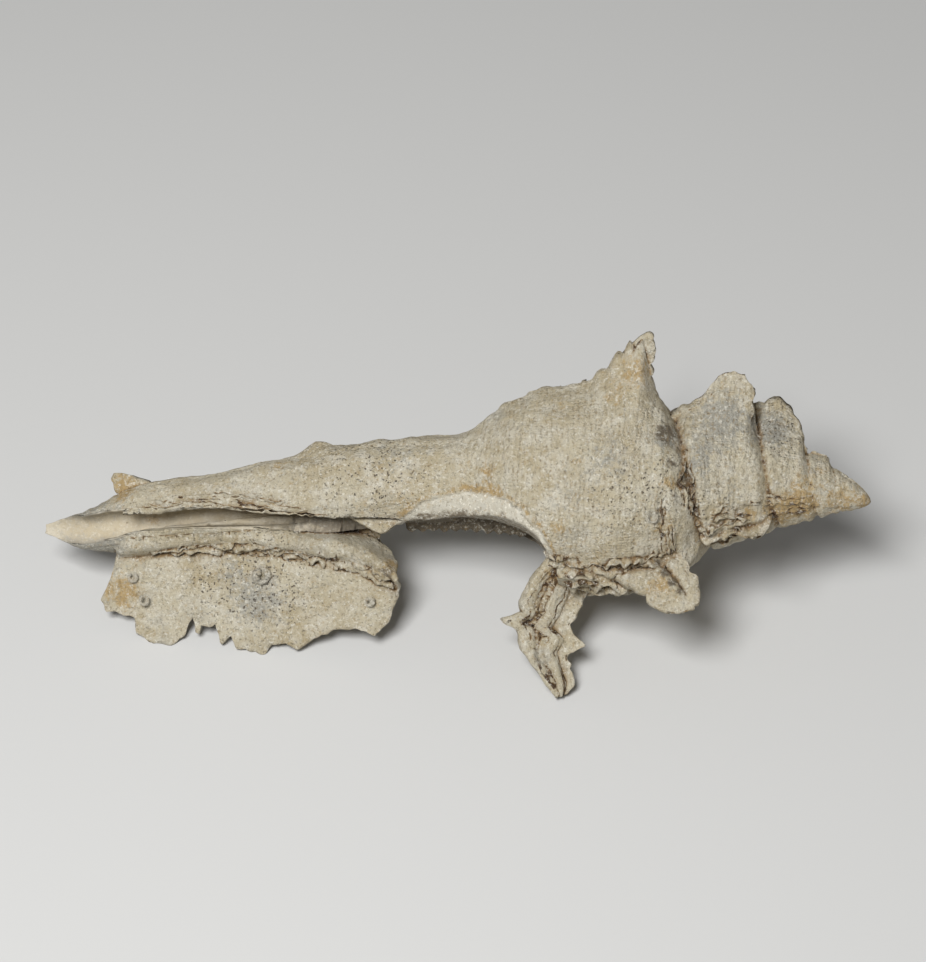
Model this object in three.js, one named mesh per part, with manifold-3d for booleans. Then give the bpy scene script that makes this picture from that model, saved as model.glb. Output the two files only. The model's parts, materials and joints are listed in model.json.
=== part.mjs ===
// A weathered murex shell, lying on three of its fins. Millimetres, +Z up.
// The shell is first built along its own axis. A place on it is given by its distance from the
// apex along the axis, its distance out from the axis, and its turn about the axis in degrees:
// turn 0 is the side with the open canal, and the outer lip is a quarter turn on from there.
// Growth runs from high turns to low ones, so one full turn back is one whorl older.
import * as THREE from 'three';
import { mergeVertices } from 'three/addons/utils/BufferGeometryUtils.js';
import Module from 'manifold-3d';

// Coiling
const LENGTH = 83; // apex to the tip of the canal
const GROWTH_PER_TURN = 1.73;
const LIP_TURN = 88;
const LIP_SUTURE = 26.7; // where the newest whorl meets the older one at the lip
const SPIRE_LENGTH = 22;
const SPIRE_BOW = 1.2; // the spire's middle line bows away from the lip side
const GROOVE_DEPTH = 0.2; // of the sutures, as a share of the radius
const GROOVE_REACH = 0.25; // to either side, in whorls

// Canal
const CANAL_START = 42;
const CANAL_DROOP = 7; // how far the canal bends towards the lip side
const CANAL_BEND_LENGTH = 37;
const SLIT_HALF_WIDTH = 0.95;
const SLIT_DEPTH = 1.3; // past the canal's centre
const SLIT_FIRST = { distance: 47, turn: 64 };
const SLIT_LAST = { distance: 75, turn: 0 };

// Fins
const FIN_THICKNESS = 1.5;
const OLD_SPINES = [202, 330]; // degrees back from the lip
const OLDER_BLADES = [
  { back: 442, rise: 1 }, { back: 558, rise: 1 }, { back: 672, rise: 0.8 }, { back: 786, rise: 0.9 },
  { back: 900, rise: 1.2 },
];
const BACK_VARIX_TURN = 178;

// Pose at rest
const AXIS_HEIGHT = 14.6; // at POSE_POINT
const POSE_POINT = 30.5; // distance from the apex
const ROLL = 135;
const RISE = 2.4; // the apex end stands higher
const YAW = -6.5;
const WORN = 0.25; // the three tips that the shell stands on are worn flat by this much

// Mesh fineness
const SIDES = 30;
const TUBE_SIDES = 10;

// Radius of the shell without its fins: [distance from the apex, radius]
const GIRTH = [
  [0.0, 0.4], [0.9, 1.1], [2.2, 1.6], [3.7, 2.3], [5.5, 3.1], [8.5, 4.1], [12.7, 5.6], [17.0, 7.2],
  [21.0, 8.9], [25.0, 9.9], [29.0, 10.2], [32.0, 9.9], [34.5, 8.9], [36.5, 7.4], [38.5, 5.8], [41.0, 4.7],
  [45.0, 4.4], [54.0, 4.3], [60.0, 3.8], [68.0, 3.4], [74.0, 3.1], [78.0, 2.3], [80.5, 1.5],
  [LENGTH, 0.35],
];

// Outlines of the fins: [distance from the apex, distance from the axis]
const CANAL_FIN = [
  [50.0, 3.0], [47.2, 8.0], [46.3, 10.8], [47.5, 14.6], [48.7, 16.2], [50.7, 15.4], [53.7, 15.8],
  [56.6, 17.8], [59.3, 17.5], [60.0, 18.6], [62.7, 18.2], [63.5, 16.8], [64.2, 17.6], [65.1, 15.5],
  [66.5, 15.8], [67.3, 14.8], [67.6, 15.9], [69.4, 17.9], [71.3, 17.9], [73.6, 16.8], [73.8, 15.2],
  [76.0, 15.0], [77.0, 14.0], [74.9, 9.2], [74.0, 6.0], [62.0, 3.5],
];
const SHOULDER_SPINE = [
  [27.0, 4.0], [26.3, 9.2], [27.7, 10.2], [27.8, 11.6], [28.9, 14.0], [27.4, 15.8], [28.9, 16.9],
  [28.3, 19.8], [29.5, 21.2], [30.8, 20.6], [33.8, 16.4], [34.1, 14.9], [36.0, 13.7], [33.9, 12.8],
  [34.1, 11.5], [33.1, 9.0], [31.8, 6.0], [31.5, 4.0],
];
const BACK_SPINE = [
  [23.5, 4.0], [22.6, 9.6], [23.2, 13.0], [23.4, 17.0], [24.2, 20.6], [25.4, 20.4], [26.6, 16.6],
  [27.6, 14.0], [30.0, 12.4], [33.0, 11.6], [35.5, 9.4], [38.0, 6.6], [40.0, 5.2], [38.0, 3.0],
];
const BACK_CANAL_FIN = [
  [43.0, 2.0], [42.4, 5.6], [44.2, 8.2], [47.0, 8.8], [50.0, 7.6], [53.5, 8.4], [57.0, 7.0],
  [60.5, 5.4], [62.5, 3.0], [60.0, 0.5],
];
// Shares of the distance from the apex to the suture at that varix
const OLD_SPINE = [
  [1.06, 0.18], [1.03, 0.42], [1.06, 0.64], [1.12, 0.82], [1.2, 0.82], [1.3, 0.69], [1.44, 0.58],
  [1.62, 0.5], [1.76, 0.4], [1.7, 0.18],
];
const OLDER_BLADE = [
  [1.06, 0.1], [0.98, 0.45], [1.02, 0.72], [1.09, 0.93], [1.27, 0.96], [1.34, 0.88], [1.5, 0.8],
  [1.66, 0.7], [1.73, 0.45], [1.6, 0.1],
];
const CANAL_SPUR = [
  [70.0, 3.0], [72.0, 1.5], [76.3, 1.1], [76.5, 1.8], [75.8, 3.2], [75.4, 4.6], [72.0, 5.5],
];

// The bay between the two fins of the lip, cut across the shell: [distance from apex, from axis]
const LIP_BAY = [
  [30.8, 7.0], [32.0, 5.4], [34.0, 4.1], [37.0, 3.2], [41.0, 3.1], [44.5, 3.7], [47.0, 5.2],
  [47.0, 30.0], [30.8, 30.0],
];
const BAY_LEAN = 7; // degrees, so that the far edge lies lower than the near one

// The chamber inside: [degrees back from the lip, distance, from axis, half length, half width]
const CHAMBER = [
  [370, 19.3, 3.3, 2.2, 1.6], [310, 21.3, 3.7, 2.7, 1.9], [250, 23.6, 4.2, 3.2, 2.2],
  [190, 26.4, 4.8, 3.9, 2.6], [130, 29.4, 5.3, 4.6, 3.0], [75, 32.5, 5.4, 5.2, 3.3],
  [30, 35.5, 4.9, 5.4, 3.2], [-4, 38.5, 3.4, 5.2, 2.6],
];

const SHELL = new THREE.MeshStandardMaterial({ color: 0xcfc4ac, roughness: 0.85, metalness: 0 });

const wasm = await Module();
wasm.setup();

const radians = THREE.MathUtils.degToRad;

function girth(distance) {
  const next = Math.max(GIRTH.findIndex((row) => row[0] >= distance), 1);
  const [start, end] = [GIRTH[next - 1], GIRTH[next]];
  const share = THREE.MathUtils.inverseLerp(start[0], end[0], distance);
  return THREE.MathUtils.lerp(start[1], end[1], share);
}

// How far the middle line lies off the axis, towards the lip side.
function offAxis(distance) {
  const bow = SPIRE_BOW * Math.sin(Math.PI * Math.min(distance / SPIRE_LENGTH, 1) ** 0.8);
  const share = Math.max(0, (distance - CANAL_START) / CANAL_BEND_LENGTH);
  return CANAL_DROOP * Math.min(share, 1) ** 1.3 - bow;
}

// A point of the shell before it is laid down: the axis is X with the apex at 0.
function place(distance, out, turn, centre = 0) {
  const angle = radians(turn);
  return new THREE.Vector3(-distance, out * Math.cos(angle), centre + out * Math.sin(angle));
}

// How far a place is from the nearest suture, in whorls. Past the newest suture there is no other.
function fromSuture(distance, turn) {
  const back = THREE.MathUtils.euclideanModulo(turn - LIP_TURN, 360);
  const whorls = Math.log(distance / LIP_SUTURE) / Math.log(GROWTH_PER_TURN) + back / 360;
  return Math.abs(whorls > 0 ? whorls : whorls - Math.round(whorls));
}

// The sutures are grooves: deepest at the suture, gone at a quarter of a whorl to either side.
function groove(distance, turn) {
  const share = Math.max(0, 1 - fromSuture(distance, turn) / GROOVE_REACH);
  return 1 - GROOVE_DEPTH * share ** 2;
}

// A closed skin over rings of points, each ring with the same number of points.
function loft(rings) {
  const count = rings[0].length;
  const points = rings.flat();
  const faces = [];
  for (let ring = 0; ring < rings.length - 1; ring++) {
    for (let i = 0; i < count; i++) {
      const a = ring * count + i;
      const b = ring * count + (i + 1) % count;
      faces.push(a, b, b + count, a, b + count, a + count);
    }
  }
  for (const [first, ahead] of [[0, false], [(rings.length - 1) * count, true]]) {
    const middle = points.length;
    const centre = new THREE.Vector3();
    for (let i = 0; i < count; i++) centre.addScaledVector(points[first + i], 1 / count);
    points.push(centre);
    for (let i = 0; i < count; i++) {
      const pair = [first + i, first + (i + 1) % count];
      faces.push(middle, ...(ahead ? pair : pair.reverse()));
    }
  }
  const geometry = new THREE.BufferGeometry().setFromPoints(points);
  geometry.setIndex(faces);
  return geometry;
}

function body() {
  const rings = [];
  const steps = GIRTH.flatMap(([distance], i) =>
    i + 1 < GIRTH.length ? [distance, (distance + GIRTH[i + 1][0]) / 2] : [distance]);
  for (const distance of steps.reverse()) {
    const ring = [];
    for (let i = 0; i < SIDES; i++) {
      const turn = i * 360 / SIDES;
      const out = girth(distance) * groove(distance + 0.1, turn);
      ring.push(place(distance, out, turn, offAxis(distance)));
    }
    rings.push(ring);
  }
  return loft(rings);
}

// A fin standing on the shell: an outline in the plane of the axis and one turn.
function fin(outline, turn, thickness = FIN_THICKNESS) {
  const shape = new THREE.Shape(outline.map(([distance, out]) => new THREE.Vector2(-distance, out)));
  const geometry = new THREE.ExtrudeGeometry(shape, { depth: thickness, bevelEnabled: false });
  return geometry.translate(0, 0, -thickness / 2).rotateX(radians(turn));
}

function oldFin(shares, back, rise = 1) {
  const sutureHere = LIP_SUTURE * GROWTH_PER_TURN ** (-back / 360);
  const outline = shares.map(([along, out]) => [along * sutureHere, out * sutureHere * rise]);
  return fin(outline, LIP_TURN + back, FIN_THICKNESS * Math.sqrt(sutureHere / LIP_SUTURE));
}

// The open canal: a groove swept along it, its mouth turning slowly round the canal.
function slit() {
  const rings = [];
  for (let distance = LENGTH + 2; distance >= SLIT_FIRST.distance; distance -= 3) {
    const share = (distance - SLIT_FIRST.distance) / (SLIT_LAST.distance - SLIT_FIRST.distance);
    const turn = THREE.MathUtils.lerp(SLIT_FIRST.turn, SLIT_LAST.turn, Math.min(share, 1));
    const depth = Math.min(SLIT_DEPTH, girth(Math.min(distance, LENGTH)) * 0.5);
    const corners = [[-depth, -0.5], [9, -1], [9, 1], [-depth, 0.5]];
    rings.push(corners.map(([out, side]) => place(distance, out, turn, offAxis(distance))
      .add(place(0, side * SLIT_HALF_WIDTH, turn + 90))));
  }
  return loft(rings);
}

function lipBay() {
  const reach = 40;
  return fin(LIP_BAY, 90 - BAY_LEAN, reach);
}

function chamber() {
  const rings = CHAMBER.map(([back, distance, out, halfLength, halfWidth]) => {
    const ring = [];
    for (let i = 0; i < TUBE_SIDES; i++) {
      const angle = i * 2 * Math.PI / TUBE_SIDES;
      const across = out + halfWidth * Math.sin(angle);
      ring.push(place(distance + halfLength * Math.cos(angle), across, LIP_TURN + back));
    }
    return ring;
  });
  return loft(rings);
}

function solid(geometry) {
  geometry.deleteAttribute('normal');
  geometry.deleteAttribute('uv');
  const merged = mergeVertices(geometry);
  return new wasm.Manifold(new wasm.Mesh({
    numProp: 3,
    vertProperties: new Float32Array(merged.attributes.position.array),
    triVerts: new Uint32Array(merged.index.array),
  }));
}

function geometryOf(manifold) {
  const mesh = manifold.getMesh();
  const geometry = new THREE.BufferGeometry();
  geometry.setAttribute('position', new THREE.Float32BufferAttribute(mesh.vertProperties, 3));
  geometry.setIndex(new THREE.BufferAttribute(mesh.triVerts, 1));
  geometry.computeVertexNormals();
  return geometry;
}

function grownShell() {
  const fins = [
    fin(CANAL_FIN, LIP_TURN + 4), fin(SHOULDER_SPINE, LIP_TURN, 2.2), fin(CANAL_SPUR, 90, 2),
    fin(BACK_SPINE, BACK_VARIX_TURN, 1.8), fin(BACK_CANAL_FIN, BACK_VARIX_TURN),
    ...OLD_SPINES.map((back) => oldFin(OLD_SPINE, back)),
    ...OLDER_BLADES.map(({ back, rise }) => oldFin(OLDER_BLADE, back, rise)),
  ];
  const core = solid(body()).subtract(solid(lipBay()));
  const whole = fins.reduce((sum, geometry) => sum.add(solid(geometry)), core);
  return geometryOf(whole.subtract(solid(chamber())).subtract(solid(slit())));
}

// Lays the shell down and takes off what would reach below the floor.
function laidDown(geometry) {
  const pose = new THREE.Matrix4()
    .makeTranslation(0, 0, AXIS_HEIGHT)
    .multiply(new THREE.Matrix4().makeRotationFromEuler(
      new THREE.Euler(radians(ROLL), radians(-RISE), radians(YAW), 'ZYX')))
    .multiply(new THREE.Matrix4().makeTranslation(POSE_POINT, 0, 0));
  geometry.applyMatrix4(pose);
  const floor = new THREE.BoxGeometry(200, 200, 20).translate(0, 0, -10 + WORN);
  return geometryOf(solid(geometry).subtract(solid(floor)));
}

const shape = laidDown(grownShell());
shape.computeBoundingBox();
const middle = shape.boundingBox.getCenter(new THREE.Vector3());

const murexShell = new THREE.Mesh(shape, SHELL);
murexShell.name = 'murex_shell';
murexShell.position.set(-middle.x, -middle.y, -shape.boundingBox.min.z);

const shell = new THREE.Group();
shell.add(murexShell);

export default shell;
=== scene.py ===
# %% [markdown]
# # A weathered murex shell
# A murex is a sea snail. Its shell grows at the lip only, so everything on it is a record of where
# the lip once stood: cords run round the whorls, fine lamellae mark each small rest, and the big
# fins, called varices, mark the long rests. We build it the same way, from a few growth rules.

# %% Load the fixed frame
import json
import math

import bpy
import numpy as np
from mathutils import Matrix, Vector
from mathutils.bvhtree import BVHTree

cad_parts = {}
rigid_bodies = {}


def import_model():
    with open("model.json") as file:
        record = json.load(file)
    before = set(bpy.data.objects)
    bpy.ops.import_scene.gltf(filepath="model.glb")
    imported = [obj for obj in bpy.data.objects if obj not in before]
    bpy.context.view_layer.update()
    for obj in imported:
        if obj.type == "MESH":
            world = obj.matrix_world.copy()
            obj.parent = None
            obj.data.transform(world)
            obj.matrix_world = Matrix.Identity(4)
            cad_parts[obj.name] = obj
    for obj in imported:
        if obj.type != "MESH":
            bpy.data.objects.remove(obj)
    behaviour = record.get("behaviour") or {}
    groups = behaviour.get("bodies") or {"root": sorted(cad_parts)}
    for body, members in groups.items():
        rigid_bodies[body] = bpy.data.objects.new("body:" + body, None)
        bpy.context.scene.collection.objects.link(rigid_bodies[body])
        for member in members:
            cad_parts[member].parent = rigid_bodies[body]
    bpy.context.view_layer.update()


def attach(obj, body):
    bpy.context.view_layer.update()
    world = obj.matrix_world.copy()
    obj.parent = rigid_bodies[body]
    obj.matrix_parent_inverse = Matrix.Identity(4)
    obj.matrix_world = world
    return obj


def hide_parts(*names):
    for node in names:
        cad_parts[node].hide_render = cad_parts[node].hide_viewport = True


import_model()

# %% [markdown]
# ## Shell coordinates
# A snail shell is easiest to describe round its own axis. Every place gets a distance from the
# apex, a distance out from the axis and a turn about it, in millimetres and degrees. Turn 0 is the
# side with the open canal. Growth runs towards lower turns, so "age" counts degrees back from the
# lip. One matrix then lays the finished shell down in the frame, in metres.

# %% Shell coordinates
MM = 0.001
LENGTH = 83.0
GROWTH_PER_TURN = 1.73
LIP_TURN = 88.0
LIP_SUTURE = 26.7
POSE_POINT = 30.5
AXIS_POINT = (11.06, 1.25, 14.35)
ROLL, RISE, YAW = 135.0, 2.4, -6.5

lay_down = (
    Matrix.Diagonal((MM, MM, MM, 1.0))
    @ Matrix.Translation(AXIS_POINT)
    @ Matrix.Rotation(math.radians(YAW), 4, "Z")
    @ Matrix.Rotation(math.radians(-RISE), 4, "Y")
    @ Matrix.Rotation(math.radians(ROLL), 4, "X")
    @ Matrix.Translation((POSE_POINT, 0, 0))
)


def off_axis(distance):
    """How far the middle line lies off the axis: the spire bows one way, the canal bends the other."""
    bow = 1.2 * np.sin(np.pi * np.clip(distance / 22, 0, 1) ** 0.8)
    bend = 7 * np.clip((distance - 42) / 37, 0, 1) ** 1.3
    return bend - bow


def place(distance, out, turn, centre=0.0):
    """Points in the shell's own frame, from arrays of shell coordinates."""
    angle = np.radians(turn)
    parts = (-distance + 0 * out, out * np.cos(angle), centre + out * np.sin(angle))
    return np.stack(np.broadcast_arrays(*parts), axis=-1)


def smooth_curve(points, blur=0.8):
    """A function through a few points, with its corners rounded."""
    fine = np.arange(-6, LENGTH + 6, 0.05)
    steps = np.arange(-3 * blur, 3 * blur + 0.01, 0.05)
    weights = np.exp(-0.5 * (steps / blur) ** 2)
    values = np.interp(fine, *np.array(points).T)
    padded = np.pad(values, len(steps) // 2, mode="edge")
    values = np.convolve(padded, weights / weights.sum(), "valid")[: len(fine)]
    return lambda distance: np.interp(distance, fine[: len(values)], values)


GIRTH = [
    (0.0, 0.4), (0.9, 1.1), (2.2, 1.6), (3.7, 2.3), (5.5, 3.1), (8.5, 4.1), (12.7, 5.6), (17.0, 7.2),
    (21.0, 8.9), (25.0, 9.9), (29.0, 10.2), (32.0, 9.9), (34.5, 8.9), (36.5, 7.4), (38.5, 5.8),
    (41.0, 4.7), (45.0, 4.4), (54.0, 4.3), (60.0, 3.8), (68.0, 3.4), (74.0, 3.1), (78.0, 2.3),
    (80.5, 1.4), (83.0, 0.3),
]
girth = smooth_curve(GIRTH)


def whorls_on(distance, turn):
    """Whorls from the newest suture, and how many degrees of growth ago this place was the lip."""
    back = np.mod(turn - LIP_TURN, 360)
    whorls = np.log(np.maximum(distance, 0.05) / LIP_SUTURE) / math.log(GROWTH_PER_TURN) + back / 360
    age = back - 360 * np.minimum(np.floor(whorls), 0)
    return whorls, age


def noise(points, size, seed=0):
    """Smooth random values from -1 to 1 that change over about this size."""
    grid = points / size + seed * 17.31
    corner = np.floor(grid).astype(np.int64)
    share = grid - corner
    share = share * share * (3 - 2 * share)
    total = 0
    for x, y, z in np.ndindex(2, 2, 2):
        key = (corner[..., 0] + x) * 73856093 ^ (corner[..., 1] + y) * 19349663
        key = key ^ (corner[..., 2] + z) * 83492791 ^ seed * 2654435
        key = (key ^ (key >> 13)) * 1274126177 & 0x7FFFFFFF
        value = ((key ^ (key >> 16)) & 0xFFFF) / 32767.5 - 1
        near = [share[..., i] if step else 1 - share[..., i] for i, step in enumerate((x, y, z))]
        total = total + value * near[0] * near[1] * near[2]
    return total


print("girth at the body:", round(float(girth(28)), 2), "mm; at the canal:", round(float(girth(60)), 2))

# %% [markdown]
# ## Closed meshes from grids
# Everything here is a grid of points that is closed into a solid: rings closed round and capped, or
# a sheet with a front, a back and an edge. Solids can then be joined by Blender's Boolean modifier.
# Its Manifold solver is fast and leaves clean closed meshes, which voxel remeshing would blur.

# %% Closed meshes from grids
skin = bpy.data.materials.new("weathered_skin")
lining = bpy.data.materials.new("smooth_lining")


def mesh_object(name, points, faces, material=skin):
    """A new object in the scene from points and faces."""
    mesh = bpy.data.meshes.new(name)
    mesh.materials.append(material)
    mesh.from_pydata(np.asarray(points).reshape(-1, 3).tolist(), [], faces)
    mesh.validate()
    made = bpy.data.objects.new(name, mesh)
    bpy.context.scene.collection.objects.link(made)
    return made


def grid_faces(rows, columns, start=0, closed=False, flipped=False):
    """Four-sided faces over a grid of points, numbered row by row from start."""
    last = columns if closed else columns - 1
    row, column = np.meshgrid(np.arange(rows - 1), np.arange(last), indexing="ij")
    after = (column + 1) % columns
    faces = np.stack([row * columns + column, row * columns + after,
                      (row + 1) * columns + after, (row + 1) * columns + column], -1)
    faces = faces.reshape(-1, 4) + start
    return (faces[:, ::-1] if flipped else faces).tolist()


def rings_solid(name, rings, material=skin):
    """A solid from rings of points, capped with a fan at each end."""
    rows, columns = rings.shape[:2]
    faces = grid_faces(rows, columns, closed=True)
    points = np.vstack([rings.reshape(-1, 3), rings[0].mean(0), rings[-1].mean(0)])
    first, last = rows * columns, rows * columns + 1
    for i in range(columns):
        after = (i + 1) % columns
        faces.append([first, after, i])
        faces.append([last, (rows - 1) * columns + i, (rows - 1) * columns + after])
    return outwards(mesh_object(name, points, faces, material))


def outwards(made):
    """Turns a closed mesh inside out if its volume comes out negative."""
    mesh = made.data
    points = np.empty(len(mesh.vertices) * 3)
    mesh.vertices.foreach_get("co", points)
    mesh.calc_loop_triangles()
    corners = np.empty(len(mesh.loop_triangles) * 3, dtype=np.int32)
    mesh.loop_triangles.foreach_get("vertices", corners)
    a, b, c = points.reshape(-1, 3)[corners.reshape(-1, 3)].transpose(1, 0, 2)
    if np.einsum("ij,ij->", a, np.cross(b, c)) < 0:
        mesh.flip_normals()
    return made


def spaced(line, count):
    """Points spaced evenly along a line."""
    line = np.array(line, dtype=float)
    far = np.concatenate([[0], np.cumsum(np.linalg.norm(np.diff(line, axis=0), axis=1))])
    at = np.linspace(0, far[-1], count)
    return np.stack([np.interp(at, far, column) for column in line.T], axis=-1)


def unit(vectors):
    """Vectors of length 1 with the same directions."""
    return vectors / np.maximum(np.linalg.norm(vectors, axis=-1, keepdims=True), 1e-9)


def sheet_solid(name, grid, thickness):
    """A sheet with this thickness at each grid point, half to either side."""
    rows, columns = grid.shape[:2]
    facing = unit(np.cross(np.gradient(grid, axis=0), np.gradient(grid, axis=1)))
    offset = facing * np.broadcast_to(thickness, (rows, columns))[..., None] / 2
    count = rows * columns
    faces = grid_faces(rows, columns) + grid_faces(rows, columns, start=count, flipped=True)
    rim = [(0, j) for j in range(columns)] + [(i, columns - 1) for i in range(1, rows)]
    rim += [(rows - 1, j) for j in range(columns - 2, -1, -1)] + [(i, 0) for i in range(rows - 2, 0, -1)]
    rim = [i * columns + j for i, j in rim]
    for here, after in zip(rim, rim[1:] + rim[:1]):
        faces.append([after, here, here + count, after + count])
    points = np.vstack([(grid + offset).reshape(-1, 3), (grid - offset).reshape(-1, 3)])
    return outwards(mesh_object(name, points, faces))


def fade(value, low, high):
    """0 below low, 1 above high, and smooth between."""
    share = np.clip((value - low) / (high - low), 0, 1)
    return share * share * (3 - 2 * share)


def sheet_noise(flat, size, seed):
    """Noise over the flat outline of a sheet."""
    return noise(np.dstack([flat, 0 * flat[..., 0]]), size, seed)


def hump(value, at, wide):
    """1 at this place, falling off smoothly to either side."""
    return np.exp(-(((value - at) / wide) ** 2))


def patch(name, edge_a, edge_b, turn, rows, columns, thickness, lift=None, ragged=0.0, seed=1):
    """A fin between two edges of (distance, out) at one turn. Lift bends it towards newer growth."""
    a, b = spaced(edge_a, rows), spaced(edge_b, rows)
    v, w = np.meshgrid(np.linspace(0, 1, rows), np.linspace(0, 1, columns), indexing="ij")
    flat = a[:, None] * (1 - w[..., None]) + b[:, None] * w[..., None]
    tear = sheet_noise(flat, 0.9, seed) + 0.7 * sheet_noise(flat, 0.45, seed + 1)
    flat = flat + ragged * (tear * fade(w, 0.8, 1))[..., None] * unit((b - a)[:, None])
    grid = place(flat[..., 0], flat[..., 1], turn)
    if lift is not None:
        newer = (0, math.sin(math.radians(turn)), -math.cos(math.radians(turn)))
        grid = grid + lift(v, w, flat)[..., None] * newer
    return sheet_solid(name, grid, thickness(v, w) if callable(thickness) else thickness)


def apply_step(base, step):
    """Applies one modifier for good."""
    with bpy.context.temp_override(object=base, active_object=base, selected_objects=[base]):
        bpy.ops.object.modifier_apply(modifier=step.name)


def combine(base, tool, operation="UNION"):
    """Applies one Boolean to base and deletes the tool. The faces it adds keep the tool's material."""
    step = base.modifiers.new(operation.lower(), "BOOLEAN")
    step.operation, step.solver, step.object = operation, "MANIFOLD", tool
    apply_step(base, step)
    bpy.data.objects.remove(tool)
    return base


def gather(pieces):
    """Joins pieces two by two, which is faster than adding each to a heavy mesh."""
    while len(pieces) > 1:
        pairs = [pieces[i : i + 2] for i in range(0, len(pieces), 2)]
        pieces = [combine(*pair) if len(pair) > 1 else pair[0] for pair in pairs]
    return pieces[0]


# %% [markdown]
# ## The coiled body
# The whorls have no overhangs when seen from the axis, so one closed skin holds the spire, the body
# whorl and the neck of the canal: a radius for each distance and turn. Grooves make the sutures. At
# each varix the radius climbs slowly on the older side and drops sharply on the newer one, because
# the snail started again from inside its old lip.

# %% The coiled body
VARIX_AGES = [0, 90, 202, 330, 442, 558, 672, 786, 900, 1014, 1128, 1242, 1356]


def suture_at(age):
    """Distance of the suture from the apex where the shell is this old."""
    return LIP_SUTURE * GROWTH_PER_TURN ** (-age / 360)


# How far the body climbs towards the fin of each varix: its age, then (distance, height) along it.
CRESTS = {
    202: [(21.6, 0), (22.2, 2.0), (22.8, 6.0), (24.2, 4.8), (26.5, 2.3), (28.4, 0.1), (31.0, -0.6),
          (34.5, -0.4), (37, 0)],
    558: [(11.0, 0), (12.4, 4.2), (14.4, 5.2), (16.2, 2.9), (18.3, 0.1), (20.7, 0)],
    900: [(5.6, 0), (7.4, 2.9), (9.2, 4.0), (10.8, 3.9), (12.6, 0)],
    90: [(22.2, 0), (23.8, 3), (26.0, 3), (29.0, 1.8), (34.0, 1.4), (38.5, 0.4), (41, 0)],
    330: [(16.0, 0), (17.5, 1.4), (20.0, 1.6), (22.5, 0.7), (24.5, 0)],
}
# Worn knobs: distance, turn, width along, width round and height.
KNOBS = [
    (55.5, -84, 1.5, 15, 1.0), (49.5, -80, 1.2, 14, 0.35), (46.5, -70, 1.0, 10, 0.3),
    (61.0, -60, 1.4, 16, 0.3), (72.0, -75, 3.5, 35, 0.55), (33.0, -80, 1.2, 12, 0.5),
    (36.5, -75, 0.9, 12, 0.35), (4.8, -88, 0.8, 24, 0.5),
]


def body_radius(distance, turn):
    """How far the skin lies from the middle line."""
    whorls, age = whorls_on(distance, turn)
    above = np.where(whorls > 0, whorls, np.mod(whorls, 1))
    below = np.where(whorls > 0, 1.0, 1 - above)
    groove = 0.15 * np.exp(-above / 0.075) + 0.12 * np.exp(-(below / 0.05) ** 2)
    shoulder = 0.045 * hump(above, 0.2, 0.12)
    radius = girth(distance) * (1 - groove * fade(distance, 0.5, 4) + shoulder)
    body = fade(distance, 3, 9) * (1 - fade(distance, 36, 42))
    radius *= 1 - 0.04 * np.clip(age, 0, 360) / 360 * fade(distance, 24, 28) * (1 - fade(distance, 36, 42))
    for varix in VARIX_AGES[1:]:
        past = age - varix
        ridge = np.exp(-np.maximum(past, 0) / 18) * np.exp(np.minimum(past, 0) / 3)
        radius += 0.06 * suture_at(varix) * ridge * body * fade(above, 0.02, 0.2)
    for varix, crest in CRESTS.items():
        past = age - varix
        rise = np.exp(-np.maximum(past, 0) / 13) * np.exp(np.minimum(past, 0) / 2.2)
        crest_height = 0.92 * smooth_curve([(-9, 0), *crest, (90, 0)], 0.25)(distance)
        jagged = 0.22 * noise(np.stack(np.broadcast_arrays(distance, turn * 0.15, 0.0), -1), 0.55, 77)
        radius += crest_height * rise * (1 + jagged * np.exp(-np.abs(past) / 7))
    for far, at, wide, round_it, tall in KNOBS:
        radius += tall * np.exp(-(((distance - far) / wide) ** 2) - (((turn - at) / round_it) ** 2))
    dome = np.clip(distance / 1.3, 0, 1)
    radius *= np.sqrt(1 - (1 - dome) ** 2) * 0.98 + 0.02
    return radius


def body_solid():
    """The closed skin, with most of its points on the side that faces forward."""
    rows = np.concatenate([
        np.linspace(0, 1.2, 10, endpoint=False), np.linspace(1.2, 22, 96, endpoint=False),
        np.linspace(22, 42, 88, endpoint=False), np.linspace(42, LENGTH, 118),
    ])[:, None]
    turns = np.concatenate([
        np.linspace(-100, 100, 116, endpoint=False), np.linspace(100, 260, 60, endpoint=False),
    ])[None, :]
    rings = place(rows, body_radius(rows, turns), turns, off_axis(rows))
    return rings_solid("murex_shell", rings[::-1])


shell = body_solid()
print("body:", len(shell.data.polygons), "faces")

# %% [markdown]
# ## Bay, chamber and slit
# Three cutters open the shell. The bay is the deep notch between the two fins of the lip, the
# chamber is where the snail lived, and the slit runs down the canal. Each cutter carries its own
# material, and the Boolean leaves that material on the faces it cuts, so that later we know which
# surfaces are smooth inner lining.

# %% Bay, chamber and slit
LIP_BAY = [
    (29.9, 9.5), (30.8, 7.0), (32.0, 5.4), (34.0, 4.1), (37.0, 3.3), (41.0, 3.2), (44.5, 3.7), (47.0, 5.2),
]
bay_edge = smooth_curve(LIP_BAY, blur=0.5)
# Sections of the chamber from its end to the mouth: age, distance, out, half length and half width.
CHAMBER = [
    (370, 19.3, 3.3, 2.2, 1.6), (310, 21.3, 3.7, 2.7, 1.9), (250, 23.6, 4.2, 3.2, 2.2),
    (190, 26.4, 4.8, 3.9, 2.6), (130, 29.4, 5.3, 4.6, 3.0), (75, 32.5, 5.4, 5.2, 3.3),
    (30, 35.5, 4.9, 5.4, 3.2), (-4, 38.5, 3.4, 5.2, 2.6),
]


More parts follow.
